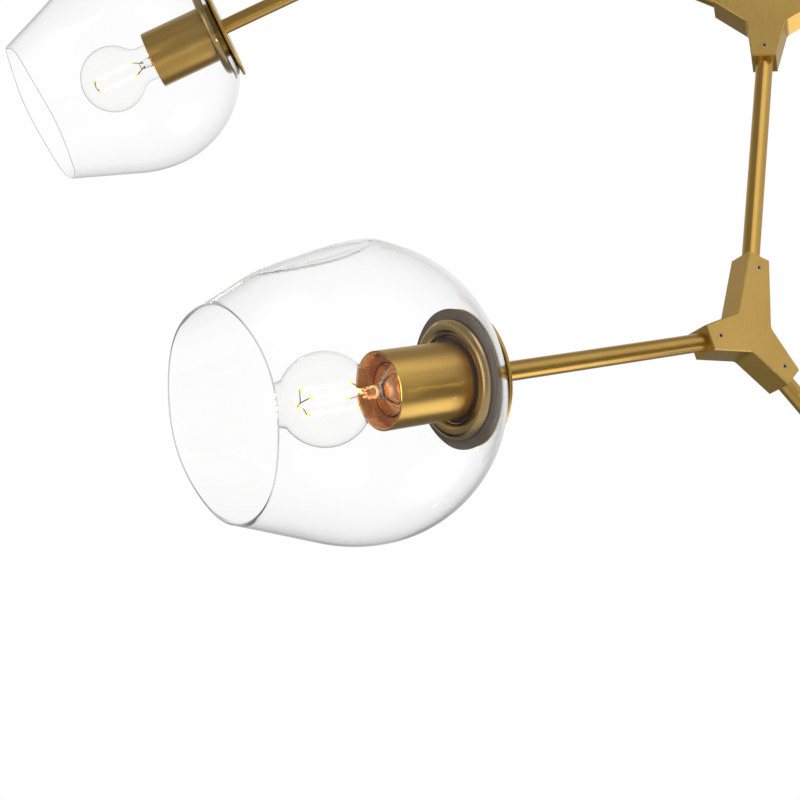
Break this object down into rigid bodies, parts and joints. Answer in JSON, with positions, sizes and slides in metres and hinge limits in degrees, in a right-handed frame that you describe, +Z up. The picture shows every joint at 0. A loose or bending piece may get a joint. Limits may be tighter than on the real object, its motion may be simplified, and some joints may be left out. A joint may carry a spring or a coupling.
{
  "type": "linear sputnik chandelier",
  "caption": "Ceiling light of slim satin brass rods and flat three-way hubs in a long zigzag under one stem, with clear blown glass bubble shades over filament bulbs.",
  "frame": {"origin": "on the ceiling plane, at the centre of the bracket's slots", "axes": "+Z up out of the ceiling face, +X along the row of hubs, -Y the side with the hub screws"},
  "size_m": [1.3988, 0.4808, 1.2336],
  "materials": {
    "satin_brass": "fine brushed satin",
    "steel": "plain turned steel",
    "lampholder": "brown moulded lampholder",
    "rubber": "matt grey-brown rubber",
    "shade_glass": "clear blown glass",
    "bulb_glass": "clear thin glass",
    "bulb_metal": "plated screw cap with filaments",
    "wire": "insulated wire"
  },
  "bodies": {
    "frame": {"ceiling_bracket": "steel", "stem": "satin_brass", "stem_nuts": "steel", "centre_hub": "satin_brass", "chain_hubs": "satin_brass", "hub_screws": "steel", "chain_rods": "satin_brass", "drop_rods": "satin_brass", "upper_lamp_rods": "satin_brass", "upper_gaskets": "rubber", "upper_back_discs": "satin_brass", "upper_cups": "satin_brass", "upper_lampholders": "lampholder", "upper_rings": "satin_brass", "wiring": "wire", "glass_shade_5": "shade_glass", "glass_shade_6": "shade_glass", "glass_shade_7": "shade_glass", "glass_shade_8": "shade_glass"},
    "canopy": {"canopy_cover": "satin_brass", "canopy_collar": "satin_brass", "collar_screw": "steel"},
    "left_drop": {"left_drop_hub": "satin_brass", "left_drop_screws": "steel", "left_lamp_rods": "satin_brass", "left_back_discs": "satin_brass", "left_cups": "satin_brass", "left_lampholders": "lampholder", "left_rings": "satin_brass", "left_gaskets": "rubber", "left_drop_wiring": "wire", "glass_shade_1": "shade_glass", "glass_shade_2": "shade_glass"},
    "right_drop": {"right_drop_hub": "satin_brass", "right_drop_screws": "steel", "right_lamp_rods": "satin_brass", "right_back_discs": "satin_brass", "right_cups": "satin_brass", "right_lampholders": "lampholder", "right_rings": "satin_brass", "right_gaskets": "rubber", "right_drop_wiring": "wire", "glass_shade_3": "shade_glass", "glass_shade_4": "shade_glass"},
    "bulb_1": {"bulb_glass_1": "bulb_glass", "bulb_core_1": "bulb_metal"},
    "bulb_2": {"bulb_glass_2": "bulb_glass", "bulb_core_2": "bulb_metal"},
    "bulb_3": {"bulb_glass_3": "bulb_glass", "bulb_core_3": "bulb_metal"},
    "bulb_4": {"bulb_glass_4": "bulb_glass", "bulb_core_4": "bulb_metal"},
    "bulb_5": {"bulb_glass_5": "bulb_glass", "bulb_core_5": "bulb_metal"},
    "bulb_6": {"bulb_glass_6": "bulb_glass", "bulb_core_6": "bulb_metal"},
    "bulb_7": {"bulb_glass_7": "bulb_glass", "bulb_core_7": "bulb_metal"},
    "bulb_8": {"bulb_glass_8": "bulb_glass", "bulb_core_8": "bulb_metal"}
  },
  "joints": [
    {"name": "canopy_slide", "type": "slide", "parent": "frame", "child": "canopy", "axis": [0, 0, -1], "range_m": [0, 0.2]},
    {"name": "left_drop_swivel", "type": "hinge", "parent": "frame", "child": "left_drop", "pos_m": [-0.19486, 0, -1.0265], "axis": [0, 0, 1], "range_deg": [-20, 45]},
    {"name": "right_drop_swivel", "type": "hinge", "parent": "frame", "child": "right_drop", "pos_m": [0.19486, 0, -1.0265], "axis": [0, 0, 1], "range_deg": [-20, 45]},
    {"name": "bulb_1_draw", "type": "slide", "parent": "left_drop", "child": "bulb_1", "axis": [-0.6124, -0.6124, -0.5], "range_m": [0, 0.12]},
    {"name": "bulb_2_draw", "type": "slide", "parent": "left_drop", "child": "bulb_2", "axis": [0.6124, 0.6124, -0.5], "range_m": [0, 0.12]},
    {"name": "bulb_3_draw", "type": "slide", "parent": "right_drop", "child": "bulb_3", "axis": [-0.6124, -0.6124, -0.5], "range_m": [0, 0.12]},
    {"name": "bulb_4_draw", "type": "slide", "parent": "right_drop", "child": "bulb_4", "axis": [0.6124, 0.6124, -0.5], "range_m": [0, 0.12]},
    {"name": "bulb_5_draw", "type": "slide", "parent": "frame", "child": "bulb_5", "axis": [-0.866, 0, -0.5], "range_m": [0, 0.12]},
    {"name": "bulb_6_draw", "type": "slide", "parent": "frame", "child": "bulb_6", "axis": [0, 0, 1], "range_m": [0, 0.12]},
    {"name": "bulb_7_draw", "type": "slide", "parent": "frame", "child": "bulb_7", "axis": [0.866, 0, -0.5], "range_m": [0, 0.12]},
    {"name": "bulb_8_draw", "type": "slide", "parent": "frame", "child": "bulb_8", "axis": [0, 0, 1], "range_m": [0, 0.12]}
  ]
}
